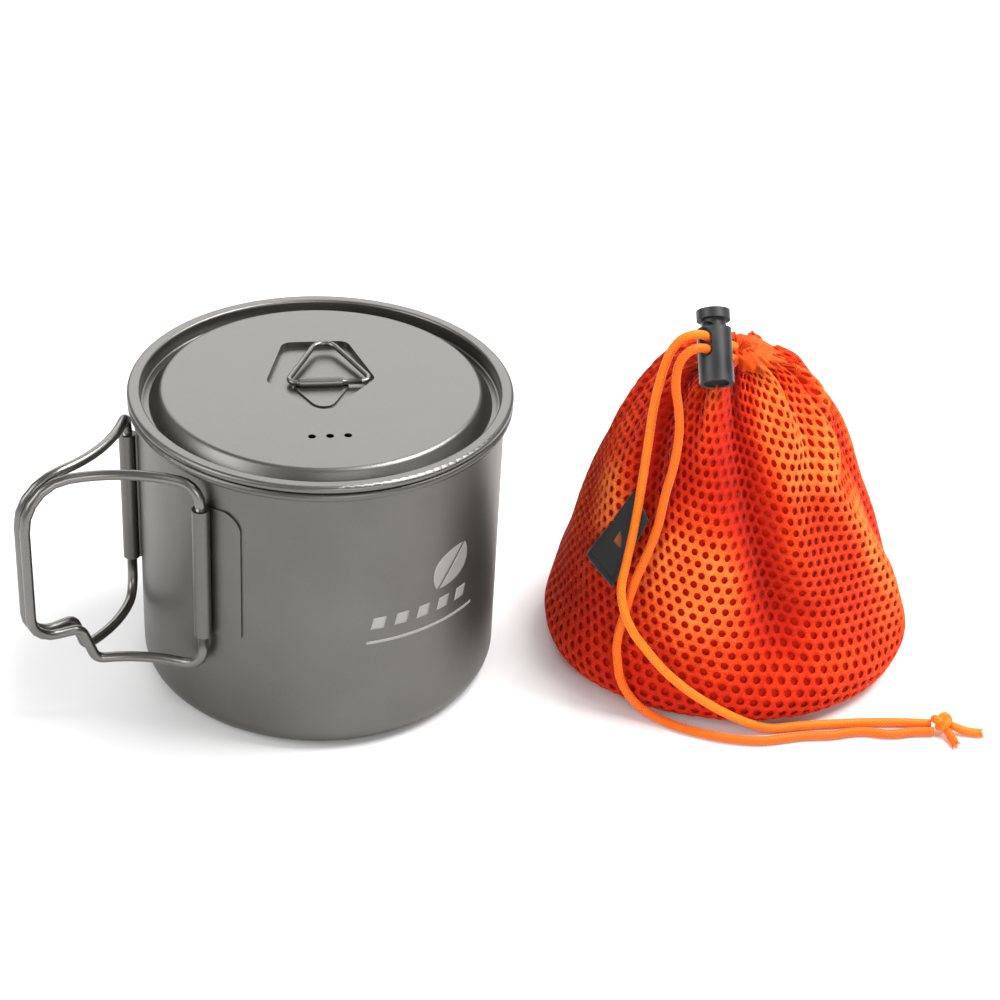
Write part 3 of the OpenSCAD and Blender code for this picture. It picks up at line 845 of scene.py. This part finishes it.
def plastic(name):
    """Matte moulded plastic: fine texture, with scuffed lighter patches."""
    m, n, l, b = new_material(name)
    place = object_place(n)
    fine = noise(n, l, place, 2600)
    scuff = noise(n, l, place, 160, 6)
    stops = [(0.35, (0.008, 0.008, 0.009, 1)), (0.75, (0.022, 0.022, 0.024, 1))]
    ramp(n, l, scuff, stops, b.inputs["Base Color"])
    ramp(n, l, scuff, [(0.3, grey(0.34)), (0.7, grey(0.52))], b.inputs["Roughness"])
    bump(n, l, b, fine, 0.25, 0.03)
    return m


def woven(name, dark, light, per_10mm=34):
    """Close ribbed weave, in cloth coordinates of 10 mm a unit."""
    m, n, l, b = new_material(name)
    place = cloth_place(n)
    ribs = []
    for axis in ("X", "Y"):
        wave = n.new("ShaderNodeTexWave")
        wave.bands_direction = axis
        wave.inputs["Scale"].default_value = per_10mm / 3.2
        wave.inputs["Distortion"].default_value = 0.4
        l.new(place, wave.inputs["Vector"])
        ribs.append(wave.outputs["Fac"])
    weave = math_node(n, l, "MULTIPLY", *ribs).outputs[0]
    ramp(n, l, weave, [(0.1, dark + (1,)), (0.9, light + (1,))], b.inputs["Base Color"])
    ramp(n, l, weave, [(0.0, grey(0.85)), (1.0, grey(0.6))], b.inputs["Roughness"])
    bump(n, l, b, weave, 0.6, 0.08)
    b.inputs["Sheen Weight"].default_value = 0.15
    return m


pot_mat = titanium("pot_titanium_blasted", (0.128, 0.124, 0.115), 0.40)
lid_mat = titanium("lid_titanium_blasted", (0.150, 0.145, 0.136), 0.36)
wire_mat = titanium("wire_titanium_satin", (0.17, 0.164, 0.154), 0.30, grain=0.7)
etch_mat = titanium("etched_mark", (0.36, 0.35, 0.33), 0.6, grain=1.6)
# the mesh and the channel get painted highlights and painted shade from their per-vertex values
net_mat = knit("orange_mesh_knit", (0.46, 0.007, 0.0003), (0.74, 0.046, 0.002), (0.96, 0.28, 0.05),
               0.7, use_painted_light=True)
# the backing's deeper red is painted shade, for where it shows through the mesh's holes
backing_shade_mat = knit("orange_backing_knit_painted_shade", (0.40, 0.005, 0.0003), (0.60, 0.012, 0.0005), (0.78, 0.03, 0.001),
                0.9, 0.0)
hem_mat = knit("orange_hem_knit", (0.56, 0.015, 0.0005), (0.84, 0.085, 0.004), (1.0, 0.33, 0.06),
               0.8, use_painted_light=True)
cord_a_mat = cord_material("cord_golden", (0.42, 0.035, 0.001), (0.84, 0.135, 0.003), (0.98, 0.29, 0.015))
cord_b_mat = cord_material("cord_deep", (0.36, 0.02, 0.0005), (0.80, 0.095, 0.002), (0.95, 0.21, 0.008))
black_mat = plastic("black_plastic_moulded")
label_mat = woven("label_weave", (0.004, 0.004, 0.005), (0.035, 0.035, 0.04))
thread_mat = woven("label_thread", (0.01, 0.01, 0.012), (0.06, 0.06, 0.065), 60)
spring_mat = titanium("spring_wire", (0.3, 0.3, 0.3), 0.3, grain=0.5)


def dress(ob, m):
    ob.data.materials.clear()
    ob.data.materials.append(m)


CAD_LOOKS = {
    "pot_body": pot_mat, "near_bracket": pot_mat, "far_bracket": pot_mat,
    "near_handle": wire_mat, "far_handle": wire_mat,
    "lid": lid_mat, "lid_strap": lid_mat, "lid_ring": wire_mat,
    "lock_barrel": black_mat, "lock_plunger": black_mat, "lock_spring": spring_mat,
}
for node_name, m in CAD_LOOKS.items():
    dress(NODES[node_name], m)

# bent wires are joined along their seams and shaded smooth
WELD_GAP = 0.000002
for node_name in ("near_handle", "far_handle", "lid_ring", "lock_spring"):
    weld = NODES[node_name].modifiers.new("join", "WELD")
    weld.merge_threshold = WELD_GAP
    for poly in NODES[node_name].data.polygons:
        poly.use_smooth = True

PIECE_LOOKS = (
    (net, net_mat), (skin, backing_shade_mat), (base_net, net_mat), (hem, hem_mat), (label, label_mat),
    (stitches, thread_mat), (threads, cord_a_mat), (mark, etch_mat), (strand_a, cord_a_mat),
    (strand_b, cord_b_mat), (knot, cord_a_mat), (tails[0], cord_a_mat), (tails[1], cord_b_mat),
    (frays, cord_a_mat), (channel_loop, cord_b_mat),
)
for ob, m in PIECE_LOOKS:
    dress(ob, m)

# ---------------------------------------------------------------- bodies and hidden parts

CLOTHS = (net, skin, base_net, hem)
CORDS = (strand_a, strand_b, knot, frays, channel_loop, *tails)
for ob in (*CLOTHS, label, stitches, threads, *CORDS):
    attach(ob, "bag")
# the bag is kept out of the metal's reflections
for ob in (*CLOTHS, strand_a, strand_b):
    ob.visible_glossy = False
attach(mark, "root")
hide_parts("bag_body")
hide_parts("bag_hem")
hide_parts("bag_label")
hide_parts("cord_strand_a")
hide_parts("cord_strand_b")
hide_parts("cord_knot")
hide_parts("cord_tails")
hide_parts("cord_channel_loop")


# ---------------------------------------------------------------- stage and light

FLOOR_GREY = 0.86
WORLD_LIGHT = 0.42

bpy.ops.mesh.primitive_plane_add(size=6, location=(0, 0.4, 0))
floor = bpy.context.object
floor.name = "floor"
floor_mat, _, _, shader = new_material("floor_pale")
shader.inputs["Base Color"].default_value = grey(FLOOR_GREY)
shader.inputs["Roughness"].default_value = 0.7
shader.inputs["Specular IOR Level"].default_value = 0.2
dress(floor, floor_mat)

world = bpy.data.worlds.new("studio")
bpy.context.scene.world = world
world.use_nodes = True
sky = world.node_tree.nodes["Background"]
sky.inputs["Color"].default_value = grey(1)
sky.inputs["Strength"].default_value = WORLD_LIGHT


def softbox(name, at, aim, size, power):
    """A rectangular lamp of this size and power in watts, aimed at a point."""
    d = bpy.data.lights.new(name, "AREA")
    d.shape = "RECTANGLE"
    d.size, d.size_y = size
    d.energy = power
    o = bpy.data.objects.new(name, d)
    bpy.context.scene.collection.objects.link(o)
    o.location = at
    o.rotation_euler = (Vector(aim) - Vector(at)).to_track_quat("-Z", "Y").to_euler()


softbox("key", (0.55, 0.1, 0.95), (0.06, 0, 0.04), (0.7, 0.5), 18)
softbox("left", (-0.8, -0.3, 0.6), (0, 0, 0.04), (0.6, 0.7), 6)
softbox("back", (-0.1, 1.1, 0.75), (0.04, 0, 0.06), (1.4, 0.6), 8)
softbox("front", (0.35, -1.1, 0.5), (0.04, 0, 0.05), (0.7, 0.5), 5)

bpy.context.scene.view_settings.view_transform = "Standard"
bpy.context.scene.view_settings.look = "None"
